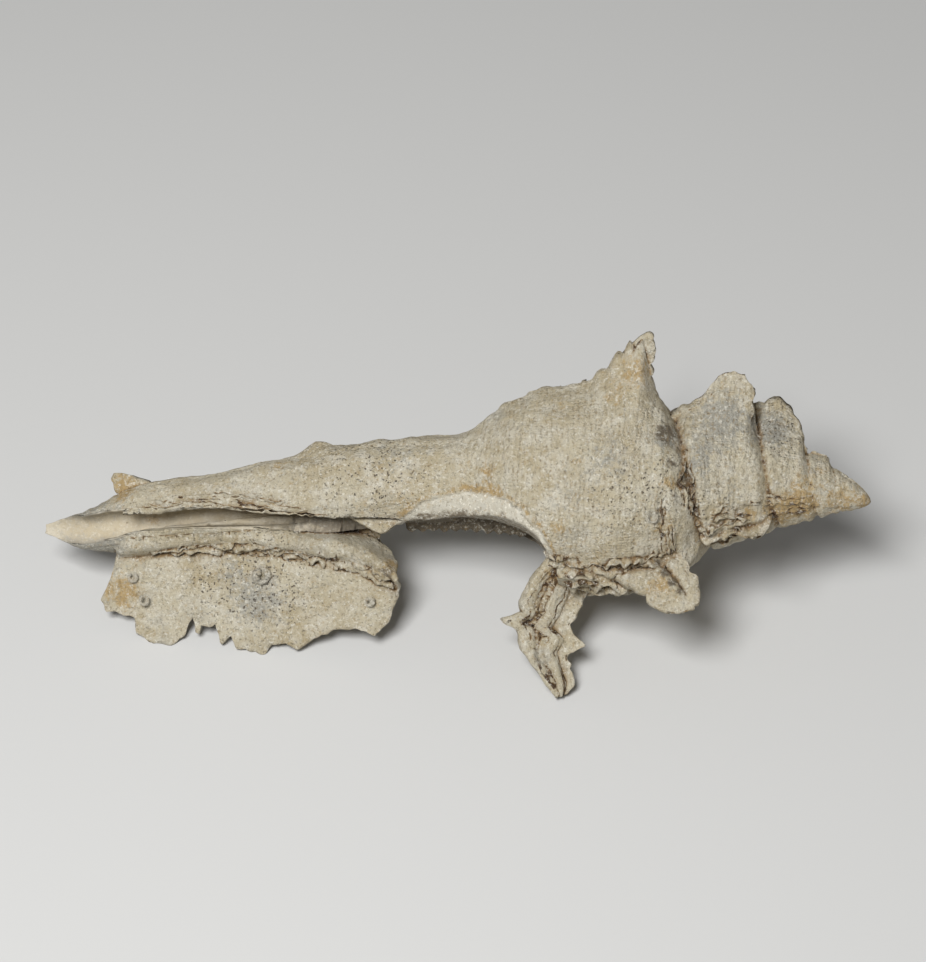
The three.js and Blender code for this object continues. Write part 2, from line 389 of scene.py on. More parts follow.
def bay_cutter():
    """Everything below the arch of the bay, right through the shell."""
    across = np.linspace(-14, 14, 40)[:, None]
    distance = np.concatenate([np.linspace(30.4, 47, 70), [47.0, 30.4]])[None, :]
    depth = bay_edge(distance) - 0.14 * (across - 4)
    depth[:, -2:] = 34
    points = np.stack(np.broadcast_arrays(-distance, across, depth), axis=-1)
    return rings_solid("bay_cutter", points, lining)


def chamber_cutter():
    """The coiled room behind the mouth."""
    table = np.array(CHAMBER)[::-1]
    age = np.linspace(-4, 370, 60)[:, None]
    distance, out, half_length, half_width = (np.interp(age, table[:, 0], table[:, k]) for k in range(1, 5))
    round_it = np.linspace(0, 2 * np.pi, 28, endpoint=False)[None, :]
    points = place(
        distance + half_length * np.cos(round_it), out + half_width * np.sin(round_it), LIP_TURN + age)
    return rings_solid("chamber_cutter", points, lining)


def mouth_cutter():
    """Hollows the shell under the arch of the bay, so that the arch becomes two thin edges."""
    share = np.linspace(-1, 1, 40)[:, None]
    round_it = np.linspace(0, 2 * np.pi, 28, endpoint=False)[None, :]
    swell = np.sqrt(1 - 0.98 * share**2)
    distance = 39.4 + 6.4 * share
    depth = bay_edge(distance) + 0.7 + 1.5 * swell * np.cos(round_it)
    points = np.stack(np.broadcast_arrays(-distance, 0.4 + 2.3 * swell * np.sin(round_it), depth), axis=-1)
    return rings_solid("mouth_cutter", points, lining)


def slit_turn(distance):
    """Which way the canal opens: it swings round towards the lip where it meets the aperture."""
    return np.interp(distance, [47, 53, 57, 66, 73, 83], [84, 66, 46, 18, 1, -2])


def slit_cutter(start_at, reach):
    """The bore of the canal with a slot that reaches this far out from its middle."""
    distance = np.linspace(start_at, LENGTH + 2, 94)[:, None]
    bore = np.interp(distance, [46, 50, 56, 66, 74, 79, 84], [2.6, 2.1, 1.5, 1.35, 1.5, 1.5, 1.0])
    half = np.interp(distance, [47, 53, 57, 66, 73, 76, 79, 84], [1.9, 1.6, 1.25, 1.0, 1.0, 1.3, 1.45, 1.0])
    start = np.arcsin(np.minimum(half / bore, 0.93))
    share = np.linspace(0, 1, 18)[None, :]
    angle = start + (2 * np.pi - 2 * start) * share
    far, near = reach + 0 * bore, 0.6 * reach + 0 * bore
    out = np.hstack([far, near, bore * np.cos(angle), near, far])
    side = np.hstack([1.25 * half, 1.1 * half, bore * np.sin(angle), -1.1 * half, -1.25 * half])
    out = out + 0.55 * fade(distance, 50, 58) + 0.3 * fade(distance, 75, 82)
    side = side + 0.12 * noise(np.dstack([distance + 0 * out, out * 0.3, 0 * out]), 1.1, 5)
    turn = slit_turn(distance)
    sideways = place(0 * distance, side, turn + 90) * (0, 1, 1)
    return rings_solid("slit_cutter", place(distance, out, turn, off_axis(distance)) + sideways, lining)


combine(shell, bay_cutter(), "DIFFERENCE")
combine(shell, slit_cutter(44.2, 9.0), "DIFFERENCE")
print("opened body:", len(shell.data.polygons), "faces")

# %% [markdown]
# ## Fins
# Each varix ends in a fin, and each fin is a bent sheet between two edge lines, thick at the root
# and thin where it broke off ragged. The gutter of a spine always faces the newer side, because the
# lip folded it round a finger of the snail's mantle. A flat cut-out would miss those folds.

# %% The canal fin
CANAL_FIN_ROOT = [(51.5, 3.0), (54.0, 4.2), (58.0, 6.1), (62.0, 6.0), (68.0, 6.4), (72.0, 7.0), (75.2, 7.7)]
CANAL_FIN_EDGE = [
    (48.9, 5.6), (49.2, 6.6), (48.0, 7.6), (47.0, 8.9), (46.3, 10.8), (46.9, 12.6), (47.5, 14.6),
    (48.7, 16.2), (49.8, 15.6), (50.7, 15.4), (53.7, 15.8), (55.6, 17.0), (56.6, 17.8), (57.7, 17.3),
    (59.3, 17.5), (60.0, 18.6),
    (60.9, 18.2), (62.7, 18.1), (63.3, 16.8), (64.3, 17.6), (65.0, 15.6), (65.6, 16.0), (66.5, 15.8),
    (66.7, 16.7), (67.0, 16.6), (67.3, 14.9), (67.7, 15.6), (68.1, 17.0), (69.4, 17.9), (71.3, 17.9),
    (73.2, 17.2), (73.5, 15.6), (74.9, 15.2), (76.4, 14.9), (77.0, 14.0), (76.0, 11.6), (75.6, 9.6),
    (75.5, 9.0),
]
ROLLED_RIM = [
    (46.2, 10.4), (47.0, 9.6), (48.5, 8.7), (49.7, 7.9), (52.2, 7.4), (57.0, 6.7), (62.0, 6.3),
    (68.0, 6.8), (72.0, 7.5), (77.0, 8.5),
]
rolled_rim = smooth_curve(ROLLED_RIM, blur=0.6)


def canal_fin_bend(v, w, flat):
    """A rolled rim runs along the joint. Beside it the sheet dips, and then it spreads out nearly flat."""
    past = flat[..., 1] - rolled_rim(flat[..., 0])
    rim = 1.75 * np.exp(-np.abs((past - 0.1) / 0.55) ** 2.2) * (1 - fade(flat[..., 0], 73.5, 76.5))
    dip = -2.7 * fade(-past, 0.2, 1.6) * (1 - fade(flat[..., 0], 56, 62))
    dip -= 0.55 * hump(past, 1.5, 0.8)
    ripple = 0.2 * sheet_noise(flat, 4.5, 3) + 0.1 * sheet_noise(flat, 1.6, 4)
    return rim + dip + 0.5 + ripple


fins = [patch(
    "canal_fin", CANAL_FIN_ROOT, CANAL_FIN_EDGE, 92, 190, 60,
    lambda v, w: 1.3 - 0.95 * fade(w, 0.25, 1.0), canal_fin_bend, ragged=0.2)]
print("canal fin:", len(fins[0].data.polygons), "faces")

# %% [markdown]
# The shoulder spine of the lip is the long leg the shell stands on. Its near edge rolls forward and a
# second fold runs beside it, so a gutter shows between them. Beyond the folds it thins to a pale wing.

# %% The shoulder spine
LEG_NEAR = [
    (31.4, 4.0), (31.4, 6.2), (32.0, 7.6), (33.4, 9.7), (34.2, 11.7), (34.0, 12.9), (34.8, 13.3),
    (36.1, 13.6), (34.6, 14.2), (34.2, 14.9), (33.8, 16.4), (32.0, 18.6), (30.8, 20.1), (29.9, 20.9),
]
LEG_FAR = [
    (26.5, 5.5), (26.9, 9.4), (27.6, 10.2), (27.7, 11.4), (28.35, 12.7), (28.9, 13.9), (28.8, 14.6),
    (27.4, 15.8), (28.8, 16.6), (28.9, 17.5), (28.3, 19.7), (28.9, 20.6), (29.5, 20.95),
]


def leg_folds(v, w, flat):
    """Two rolled folds with thin lamellae between them, then a flat wing."""
    wander = 0.05 * sheet_noise(flat, 2.2, 8) + 0.02 * sheet_noise(flat, 0.7, 7)
    across = w + wander
    folds = 0.9 * hump(across, 0.09, 0.1) + 0.6 * hump(across, 0.56, 0.07)
    for at, tall in ((0.17, 0.25), (0.25, 0.3), (0.34, -0.35), (0.41, 0.3), (0.47, -0.2), (0.66, 0.25)):
        folds = folds + tall * hump(across, at, 0.026)
    tip = 0.35 + 0.65 * (1 - fade(v, 0.8, 1))
    return 0.5 + folds * tip + 0.12 * sheet_noise(flat, 0.8, 9)


def leg_thickness(v, w):
    """Strong in the folds, thin in the wing, at the very edge and at the tip."""
    return (1.0 - 0.68 * fade(w, 0.5, 0.75)) * (0.3 + 0.7 * fade(w, 0, 0.12)) * (1 - 0.35 * fade(v, 0.9, 1))


fins.append(patch(
    "shoulder_spine", LEG_NEAR, LEG_FAR, 88, 110, 84, leg_thickness, leg_folds, ragged=0.35))
print("shoulder spine:", len(fins[-1].data.polygons), "faces")

# %% [markdown]
# The older spines and blades follow the same plan. The two that show best get their own edges, and the
# others share one outline that is scaled by how large the shell was when they grew.

# %% Older spines and blades
TOP_SPINE = (
    [(34.0, 6.5), (33.6, 9.1), (31.0, 9.8), (29.4, 10.3), (28.4, 10.3), (27.8, 11.2), (26.5, 12.2),
     (25.5, 13.4), (24.1, 15.2), (22.7, 16.5)],
    [(21.3, 5.0), (21.7, 8.4), (22.8, 10.0), (22.3, 11.9), (22.2, 13.6), (21.9, 14.9), (21.8, 16.0),
     (22.3, 16.5)],
)
LOBE_SPINE = (
    [(25.6, 7.0), (24.4, 10.6), (22.4, 11.7), (21.4, 12.2), (21.2, 13.0), (19.9, 14.0), (18.9, 14.2)],
    [(17.6, 4.5), (17.5, 6.9), (17.7, 7.8), (16.7, 10.0), (16.1, 11.5), (16.05, 12.7), (16.7, 13.6),
     (18.3, 14.2)],
)
BACK_SPINE = (
    [(38.0, 3.0), (39.4, 5.2), (38.0, 6.6), (35.5, 9.4), (33.0, 11.6), (30.0, 12.4), (27.6, 14.0),
     (26.6, 16.6), (25.4, 20.4)],
    [(23.5, 4.0), (22.6, 9.6), (23.2, 13.0), (23.4, 17.0), (24.0, 19.6), (24.4, 20.6), (25.0, 20.6)],
)
TOP_BLADE = (
    [(20.9, 5.0), (20.7, 7.8), (19.3, 8.4), (17.3, 9.4), (16.2, 11.2), (15.6, 12.0), (14.8, 12.5)],
    [(12.2, 3.5), (12.1, 8.0), (12.4, 9.9), (11.9, 10.8), (12.5, 11.4), (13.2, 12.3), (14.2, 12.6)],
)
THIRD_BLADE = (
    [(12.7, 3.0), (12.6, 9.0), (11.6, 9.4), (10.7, 9.2), (10.0, 9.2)],
    [(6.5, 2.0), (6.6, 4.6), (7.0, 5.9), (7.6, 7.4), (9.0, 8.6), (9.6, 9.0)],
)
SMALL_BLADE = ([(6.7, 1.5), (6.5, 4.3), (6.0, 4.7)], [(3.7, 1.2), (3.9, 3.0), (4.4, 4.1), (5.6, 4.7)])
# In shares of the suture's distance when the blade grew.
SHARED_BLADE = (
    [(1.60, 0.10), (1.73, 0.45), (1.66, 0.68), (1.50, 0.78), (1.34, 0.86), (1.24, 0.93)],
    [(1.06, 0.10), (0.98, 0.45), (1.02, 0.72), (1.09, 0.90), (1.18, 0.95)],
)


def lobe_fold(v, w, flat):
    """A deep crease runs out along the lobe, with a rib to either side."""
    middle = 0.68 + 0.12 * (v - 0.5) + 0.03 * sheet_noise(flat, 0.8, 20)
    crease = hump(w, middle, 0.065) * fade(v, 0.02, 0.12) * (1 - fade(v, 0.6, 0.75))
    rib = hump(w, middle + 0.12, 0.05) + 0.5 * hump(w, middle - 0.12, 0.05)
    return 0.4 - 1.3 * crease + 0.2 * rib * (1 - v) + 0.22 * sheet_noise(flat, 1.1, 21)


def gentle(v, w, flat):
    """The slight waves of a sheet without folds."""
    return 0.3 * sheet_noise(flat, 3.0, 31) + 0.12 * sheet_noise(flat, 1.0, 32)


def rooted(v, w):
    """Thick where the sheet grows out of the body, and thin at the tip."""
    return 2.6 - 2.1 * fade(v, 0.15, 0.95)


fins.append(patch("top_spine", *TOP_SPINE, 290, 90, 50, rooted, gentle, ragged=0.3, seed=11))
fins.append(patch(
    "lobe_spine", *LOBE_SPINE, 58, 90, 60, lambda v, w: 1.1 - 0.7 * fade(v, 0.3, 1), lobe_fold,
    ragged=0.4, seed=12))
fins.append(patch("back_spine", *BACK_SPINE, 178, 80, 40, rooted, gentle, ragged=0.2, seed=13))
fins.append(patch("top_blade", *TOP_BLADE, 286, 80, 44, rooted, gentle, ragged=0.35, seed=14))
fins.append(patch(
    "third_blade", *THIRD_BLADE, 268, 60, 32, lambda v, w: 0.7 * rooted(v, w), gentle, ragged=0.35, seed=15))
fins.append(patch(
    "small_blade", *SMALL_BLADE, 270, 24, 16, lambda v, w: 0.45 * rooted(v, w), ragged=0.25, seed=16))
for age, tall in ((442, 1.0), (672, 0.72), (786, 0.9)):
    edges = [[(suture_at(age) * s, suture_at(age) * r * tall) for s, r in edge] for edge in SHARED_BLADE]
    fins.append(patch(
        f"blade_{age}", *edges, LIP_TURN + age, 44, 28, lambda v, w: 0.7 * rooted(v, w), gentle, seed=age))
print(len(fins), "fins, spines and blades")

# %% [markdown]
# Smaller sheets finish the lip: a fin behind the canal, the toothed far edge of the mouth, a flap where
# the canal meets the bay, and a broken spur by the canal's end. The far edge is joined last, because
# the cutters of the mouth would take its teeth away.

# %% Small sheets of the lip
BACK_FIN_ROOT = [(43.5, 2.0), (50.0, 2.0), (61.5, 1.5)]
BACK_FIN_EDGE = [
    (42.4, 5.6), (44.2, 8.2), (47.0, 8.8), (50.0, 7.6), (53.5, 8.4), (57.0, 7.0), (60.5, 5.4),
    (62.5, 3.4),
]
fins.append(patch(
    "back_canal_fin", BACK_FIN_ROOT, BACK_FIN_EDGE, 178, 80, 20, lambda v, w: 1.6 - 1.1 * w, gentle,
    ragged=0.2))
FAR_LIP = (
    [(46.6, 2.6), (40.0, 2.2), (33.6, 3.0)],
    [(46.4 - 0.55 * i, 5.3 + 0.35 * (i % 2) + 0.03 * abs(i - 11)) for i in range(23)],
)
far_lip = patch("far_lip", *FAR_LIP, 119, 110, 22, lambda v, w: 0.9 - 0.35 * w, gentle)
FLAP = ([(53.0, 3.6), (51.0, 4.9), (49.2, 5.8)], [(44.5, 3.2), (46.0, 4.3), (47.6, 5.7), (48.4, 6.15)])
fins.append(patch("canal_flap", *FLAP, 68, 30, 24, lambda v, w: 0.9 - 0.5 * v))
SPUR = ([(71.0, 3.0), (72.6, 1.6), (74.1, 1.3), (75.2, 1.0), (76.1, 1.1)],
        [(72.0, 5.0), (75.2, 4.2), (75.4, 3.4), (75.9, 2.6), (76.3, 1.6)])
fins.append(patch("canal_spur", *SPUR, 88, 30, 14, lambda v, w: 1.5 - 0.8 * v, gentle))
print(len(fins), "fins and sheets, and the far lip")

# %% [markdown]
# ## Frills
# Between the varices the lip left thin wavy lamellae, which stand up like torn lace beside the canal,
# along the sutures and at the foot of each varix. A frill is a ribbon along a path: it stands out from
# the shell, leans over and waves from side to side. Several uneven layers of it read as lace.

# %% Frills
FRILL_STEP = 0.13
TURN_WEIGHT = 0.12  # millimetres that a degree counts for when points are spaced along a path


def frill(name, path, height, wave=0.3, lean=0.2, seed=1, thickness=0.15, gaps=0.5, up=None):
    """A wavy torn ribbon along a path of (distance, out, turn). It stands straight out, or towards up."""
    line = np.array(path, dtype=float) * (1, 1, TURN_WEIGHT)
    rough = place(line[:, 0], line[:, 1], line[:, 2] / TURN_WEIGHT, off_axis(line[:, 0]))
    length = np.linalg.norm(np.diff(rough, axis=0), axis=1).sum()
    count = max(10, int(length / FRILL_STEP))
    fine = spaced(line, count)
    turn = fine[:, 2] / TURN_WEIGHT
    base = place(fine[:, 0], fine[:, 1], turn, off_axis(fine[:, 0]))
    out = place(0 * turn, 1.0, turn) if up is None else np.broadcast_to(up, base.shape)
    side = unit(np.cross(unit(np.gradient(base, axis=0)), out))
    at = np.linspace(0, length, count)
    spot = np.stack([at, 0 * at + seed * 3.7, 0 * at], -1)
    tall = height * (0.8 + 0.6 * noise(spot, 1.9, seed) + 0.5 * noise(spot, 0.6, seed + 1))
    tall = tall * fade(noise(spot, 1.6, seed + 4), -gaps - 0.25, 0.25 - gaps)
    tall = np.maximum(tall * np.minimum(1, np.minimum(at, length - at) / 0.8 + 0.2), 0.05)[:, None]
    v = np.linspace(0, 1, 6)[None, :]
    bend = np.stack(np.broadcast_arrays(at[:, None], v * 0.7 + seed * 1.3, 0.0), -1)
    sway = lean * v**2 + wave * (1.5 * noise(bend, 1.2, seed + 2) + 1.3 * noise(bend, 0.45, seed + 3)) * v**0.7
    slide = wave * noise(bend, 0.8, seed + 6) * v
    rise = -0.45 * (1 - v) + v * tall
    along = unit(np.gradient(base, axis=0))
    grid = base[:, None] + out[:, None] * rise[..., None] + side[:, None] * sway[..., None]
    return sheet_solid(name, grid + along[:, None] * slide[..., None], thickness * (1.25 - 0.5 * v) + 0 * rise)


def on_body(distance, turn, lift=-0.05):
    """Path points that lie on the coiled body."""
    distance, turn = np.broadcast_arrays(np.asarray(distance, float), np.asarray(turn, float))
    return np.stack([distance, body_radius(distance, turn) + lift, turn], axis=-1)


def frill_band(name, layers, path_of, height, **shape):
    """Several uneven frills side by side. path_of gives the path of each layer."""
    for layer in range(layers):
        tall = height * (0.75 + 0.5 * abs(math.sin(2.3 * layer + len(frills))))
        frills.append(frill(name, path_of(layer), tall, seed=40 + 7 * len(frills), **shape))


# Each of these gives the path of one layer of a band of frills.
def along_rim(layer):
    run = np.linspace(53 + 2.5 * layer, 74.5 - 1.5 * layer, 40)
    return on_body(run, slit_turn(run) - 16 - 6 * layer - 3 * np.sin(run * 0.5 + layer))


def on_sheet(distance, forward, height):
    """Path points given by how far forward of the axis plane they are, and how far below the axis."""
    middle = off_axis(distance)
    below = height - middle
    return np.stack([distance, np.hypot(forward, below), np.degrees(np.arctan2(below, forward))], -1)


def along_joint(layer):
    run = np.linspace(46.8 + (0.5, 0, 2, 1, 5, 0.3)[layer], 75.0 - 1.2 * layer, 70)
    below = rolled_rim(run) + 0.45 + 0.2 * layer + 0.1 * np.sin(run * 1.1 + layer)
    return on_sheet(run, 1.75 - 0.2 * layer + 0 * run, below)


def along_varix(layer):
    run = np.linspace(31.5 - 0.5 * layer, 19.6 + 0.4 * layer, 40)
    return on_body(run, 46 + 5.5 * layer + 2 * np.sin(run + layer))


def along_loops(layer):
    run = np.linspace(17.4 - 0.3 * layer, 10.9 + 0.3 * layer, 24)
    return on_body(run, 22 + 7.5 * layer + 2 * np.sin(run * 1.3))


def along_suture(layer):
    turn = np.linspace(-30 + 6 * layer, 30 - 4 * layer, 30)
    return on_body(suture_at(360 - LIP_TURN + turn) + 0.35 * layer - 0.3, turn)


def along_lobe(layer):
    turn = np.linspace(2 + 4 * layer, 52, 24)
    return on_body(20.4 - 0.34 * layer - 0.012 * (turn - 8), turn)


def along_third(layer):
    run = np.linspace(10.4, 5.8, 20)
    return on_body(run, 14 + 10 * layer)


def along_leg(layer):
    edges = [spaced(edge, 60)[6 + 3 * layer : 48 - 3 * layer] for edge in (LEG_NEAR, LEG_FAR)]
    share = (0.2, 0.3, 0.42, 0.5, 0.6)[layer]
    flat = edges[0] * (1 - share) + edges[1] * share
    return on_sheet(flat[:, 0], 1.0 + 0 * flat[:, 0], flat[:, 1])


frills = []
frill_band("rim_frill", 4, along_rim, 0.4, wave=0.16, lean=0.35, gaps=0.15)
frill_band("joint_frill", 6, along_joint, 0.6, wave=0.28, lean=-0.25, gaps=0.35)
frill_band("varix_frill", 9, along_varix, 0.62, wave=0.4, lean=0.2, gaps=0.35)
frill_band("loop_frill", 6, along_loops, 0.55, wave=0.42, lean=0.15, gaps=0.35)
frill_band("suture_frill", 4, along_suture, 0.5, wave=0.32, lean=-0.2, gaps=0.1)
frill_band("lobe_frill", 5, along_lobe, 0.24, wave=0.12, lean=0.25, gaps=0.8)
frill_band("third_frill", 4, along_third, 0.34, wave=0.25, gaps=0.3)
frill_band("leg_frill", 5, along_leg, 0.55, wave=0.2, lean=0.15, gaps=0.3, up=(0, 1, 0))
print(len(frills), "frills,", sum(len(f.data.polygons) for f in frills), "faces")

# %% [markdown]
# Small guests left their marks: a coiled worm tube stands on the canal fin, and smaller rings are
# scattered near it, on the leg and by the sutures. Each is a bent tube, left open where its worm came out.

# %% Worm tubes
# Distance, height and how far forward each tube lies, then its radius and thickness.
WORM_TUBES = [
    (60.4, 10.6, 1.0, 0.66, 0.26), (72.3, 13.7, 0.85, 0.42, 0.17), (73.6, 11.4, 0.9, 0.36, 0.15),
    (49.4, 12.6, 0.9, 0.35, 0.14), (31.6, 17.0, 1.3, 0.62, 0.2), (21.0, 2.6, 8.7, 0.5, 0.18),
]


def worm_tube(distance, height, forward, radius, thick):
    """A bent tube of about five sixths of a turn."""
    bend = np.linspace(math.radians(-60), math.radians(250), 40)[:, None]
    round_it = np.linspace(0, 2 * np.pi, 12, endpoint=False)[None, :]
    tube = thick * (1 + 0.15 * np.sin(9 * bend))
    ring = radius * (1 - 0.05 * bend) + tube * np.cos(round_it)
    front = forward + tube * np.sin(round_it) + 0.05 * bend
    points = np.broadcast_arrays(-distance + ring * np.cos(bend), front, height + ring * np.sin(bend))
    return rings_solid("worm_tube", np.stack(points, axis=-1))


for tube in WORM_TUBES:
    fins.append(worm_tube(*tube))
print(len(fins), "fins and tubes")

# %% [markdown]
# Now everything grows together. The fins are joined first, so that the chamber, the mouth and the bore
# of the canal stay open through their roots.

# %% Join and open
combine(shell, gather(fins))
combine(shell, gather(frills))
for cutter in (chamber_cutter(), mouth_cutter(), slit_cutter(56.0, 2.2)):
    combine(shell, cutter, "DIFFERENCE")
combine(shell, far_lip)
print("whole shell:", len(shell.data.polygons), "faces", [m.name for m in shell.data.materials])

# %% [markdown]
# ## Relief and places on the shell
# A real shell is nowhere smooth. Spiral cords and growth steps follow the shell's own coordinates, and
# years of wear add lumps. Moving the vertices along their normals puts this relief into the outline
# too, which bump alone cannot do. The same coordinates are stored on the mesh for the finish.

# %% Relief
mesh = shell.data
count = len(mesh.vertices)


def mesh_values(collection, name, width=3, kind=np.float64):
    values = np.empty(len(collection) * width, dtype=kind)
    collection.foreach_get(name, values)
    return values.reshape(-1, width) if width > 1 else values


points = mesh_values(mesh.vertices, "co")
normals = mesh_values(mesh.vertex_normals, "vector")
distance = -points[:, 0]
middle = off_axis(distance)
turn = np.degrees(np.arctan2(points[:, 2] - middle, points[:, 1]))
turn = np.where(turn < -100, turn + 360, turn)
out = np.hypot(points[:, 1], points[:, 2] - middle)

glazed = np.zeros(count)
for face in mesh.polygons:
    if mesh.materials[face.material_index] == lining:
        glazed[list(face.vertices)] = 1
callus_low = bay_edge(distance)
callus_wide = np.interp(distance, [30.5, 33, 35, 39, 43, 46, 48], [0.8, 1.4, 2.1, 2.1, 1.7, 0.9, 0.4])
callus_top = callus_low - callus_wide + 0.3 * noise(points, 1.6, 9) + 0.15 * noise(points, 0.6, 10)
on_front = fade(distance, 30.2, 31.2) * fade(-distance, -47, -46.4)
on_front *= (points[:, 1] > 0.3) * (out < girth(distance) + 0.8)
on_front *= fade(-points[:, 2], -callus_low - 0.9, -callus_low - 0.3)
callus = fade(points[:, 2], callus_top - 0.18, callus_top + 0.18) * on_front
callus_rim = hump(points[:, 2], callus_top - 0.35, 0.4) * on_front
rough_skin = 1 - np.maximum(glazed, 0.85 * callus)
arc = np.radians(turn) * np.clip(out, 2, 10)
wander = 0.35 * noise(points, 4.0, 2)
cords = np.sin(2 * np.pi * (distance + wander) / 1.35)
steps = np.mod((arc + 0.8 * noise(points, 5.0, 3)) / 2.3, 1)
relief = 0.045 * cords * (1 - 0.7 * fade(distance, 36, 44)) + 0.09 * (steps - 0.5)
for tall, size, seed in ((0.13, 3.4, 4), (0.09, 1.3, 5), (0.07, 0.6, 6)):
    relief += tall * noise(points, size, seed)
relief = relief * (0.25 + 0.75 * rough_skin) * fade(distance, -0.5, 3) + 0.22 * callus
points = points + normals * relief[:, None]
mesh.vertices.foreach_set("co", points.ravel())
print("relief from", relief.min().round(2), "to", relief.max().round(2), "mm on", count, "vertices")

# %% [markdown]
# ## Where grime and painted shade settle
# Grime gathers where water and fingers don't reach, and shade is painted into the same closed-in places, so we
# measure how closed in each place is: short rays go out over the half-sphere, and the share that hits the
# shell again is the hollow value.
# Stored on the vertices, it paints brown grime and near-black shade into the colour anywhere on the shell and
# under any light.

# %% Hollow places
RAYS, REACH = 12, 3.0
GOLDEN_ANGLE = math.pi * (3 - math.sqrt(5))
ring = np.arange(RAYS)
lift_angle = np.arccos(1 - (ring + 0.5) / RAYS * 0.97)
spin = ring * GOLDEN_ANGLE
fan = np.stack([np.sin(lift_angle) * np.cos(spin), np.sin(lift_angle) * np.sin(spin), np.cos(lift_angle)], -1)
mesh.update()
normals = mesh_values(mesh.vertex_normals, "vector")
tree = BVHTree.FromPolygons(points.tolist(), [tuple(face.vertices) for face in mesh.polygons])
aside = unit(np.cross(normals, (0.36, 0.48, 0.8)))
third = np.cross(normals, aside)
hollow = np.zeros(count)
for ray in fan:
    ways = aside * ray[0] + third * ray[1] + normals * ray[2]
    starts = points + normals * 0.04
    for i in range(count):
        hit = tree.ray_cast(starts[i], ways[i], REACH)[3]
        if hit is not None:
            hollow[i] += 1 - hit / REACH
hollow /= RAYS
print("hollow: mean", hollow.mean().round(3), "and most", hollow.max().round(3))

# %% [markdown]
# ## Old stains
# The stains of this shell sit in known places: ochre on the spire, the spines and the canal mouth, grey
# on the top of the younger whorls, and dark specks where tiny borers pitted the lime. Soft spots placed
# by distance and height give the masks, and the same kinds of stain go on by noise round the back.

# %% Old stains
# Every row is a spot's distance, height, size and strength.
OCHRE_SPOTS = [
    (75.0, 2.5, 1.8, 1.0), (73.0, 9.0, 1.2, 0.5), (74.0, 13.0, 1.6, 0.7), (37.6, -1.2, 1.0, 0.8),
    (37.2, 1.0, 1.1, 0.8), (39.5, 0.5, 1.0, 0.5), (30.0, 4.2, 1.3, 0.6), (23.5, -11.5, 1.9, 0.8),
    (25.5, -9.0, 1.3, 0.6), (9.0, 1.6, 1.5, 1.0), (7.0, 0.6, 1.2, 0.9), (12.0, 1.8, 1.0, 0.8),
    (3.0, 0.0, 2.2, 0.7), (6.5, 0.5, 1.6, 0.5), (0.5, 0.0, 1.0, 0.8), (19.5, -0.6, 0.9, 0.9),
    (20.0, 3.4, 1.1, 0.8),
    (20.0, 9.0, 1.6, 0.8), (26.0, 7.6, 3.0, 0.35), (47.0, 8.6, 1.3, 1.0), (59.0, -0.4, 1.4, 0.5),
    (75.6, 12.9, 2.4, 0.5), (30.6, 7.0, 1.3, 0.6), (31.2, 9.2, 1.2, 0.5), (7.0, -1.5, 1.5, 0.5),
    (31.0, -8.0, 1.2, 0.4), (28.5, -3.0, 1.0, 0.35), (49.0, 0.2, 1.0, 0.3), (5.0, -2.8, 0.7, 0.6),
    (50.0, 2.9, 1.2, 0.4), (46.5, 2.2, 1.4, 0.5), (32.0, 12.0, 1.4, 0.3), (33.0, 15.0, 1.0, 0.3),
]
GREY_SPOTS = [
    (15.0, -7.5, 2.8, 0.9), (17.0, -3.0, 2.2, 0.6), (20.0, -5.2, 1.1, 1.0), (10.0, -6.5, 2.0, 1.0),
    (25.5, -3.0, 2.6, 0.5), (29.0, 0.5, 3.0, 0.35), (60.7, 13.2, 3.0, 0.8), (63.5, 10.0, 2.0, 0.4),
    (47.0, -2.0, 3.0, 0.4),
    # The last spot below darkens the tip of the canal, which faces the lamp: painted shade.
    (13.5, 0.0, 1.6, 0.4), (6.0, -2.5, 1.0, 0.5), (57.0, 0.6, 1.5, 0.3), (78.2, 7.6, 4.0, 1.1),
]
SPECK_SPOTS = [
    (60.5, 11.0, 4.5, 1.0), (49.0, -0.8, 5.0, 0.8), (9.0, -6.5, 2.4, 1.0), (20.0, -1.5, 1.6, 0.8),
    (24.0, 1.0, 3.6, 0.6), (16.0, 1.5, 2.6, 0.5), (66.0, 12.0, 2.0, 0.4),
]
DARK_SPOTS = [
    (20.3, -5.6, 1.15, 1.15), (19.6, -2.6, 0.7, 0.8), (19.0, 0.6, 0.6, 0.7), (9.5, -6.6, 1.2, 0.5),
    (47.6, 9.6, 0.9, 0.8), (49.3, 8.9, 0.7, 0.6), (18.9, -4.0, 0.5, 0.6), (18.2, -1.2, 0.8, 0.6),
    (20.5, 7.0, 0.5, 1.0), (19.7, 8.0, 0.45, 1.3), (18.9, 8.9, 0.42, 1.3), (18.1, 9.7, 0.4, 1.0),
    (35.5, 3.15, 0.28, 1.0), (40.0, 3.2, 0.3, 0.9), (44.3, 3.8, 0.25, 0.8),
]


def spots(table):
    """Soft round spots on the side that faces forward."""
    total = 0
    for far, height, size, strength in table:
        away = np.hypot(distance - far, points[:, 2] - height)
        total = total + strength * hump(away, 0, size) * fade(points[:, 1], -1.5, 0.5)
    return total


def patches(size, seed, low, high):
    """Cloudy patches from noise."""
    return fade(noise(points, size, seed) + 0.4 * noise(points, size * 0.4, seed + 1), low, high)


back = 1 - fade(points[:, 1], -1.5, 0.5)
ochre = np.clip(spots(OCHRE_SPOTS) + 0.8 * back * patches(6.0, 61, 0.15, 0.7), 0, 1)
grey = np.clip(spots(GREY_SPOTS) + 0.7 * back * patches(7.0, 63, 0.2, 0.8), 0, 1)
speck = np.clip(spots(SPECK_SPOTS) + 0.3 + 0.8 * back * patches(8.0, 65, 0.1, 0.7), 0, 1)


def store(name, values, kind="FLOAT"):
    """Keeps one value or vector for each vertex, for the materials to read."""
    layer = mesh.attributes.new(name, kind, "POINT")
    layer.data.foreach_set("vector" if kind == "FLOAT_VECTOR" else "value", values.ravel())


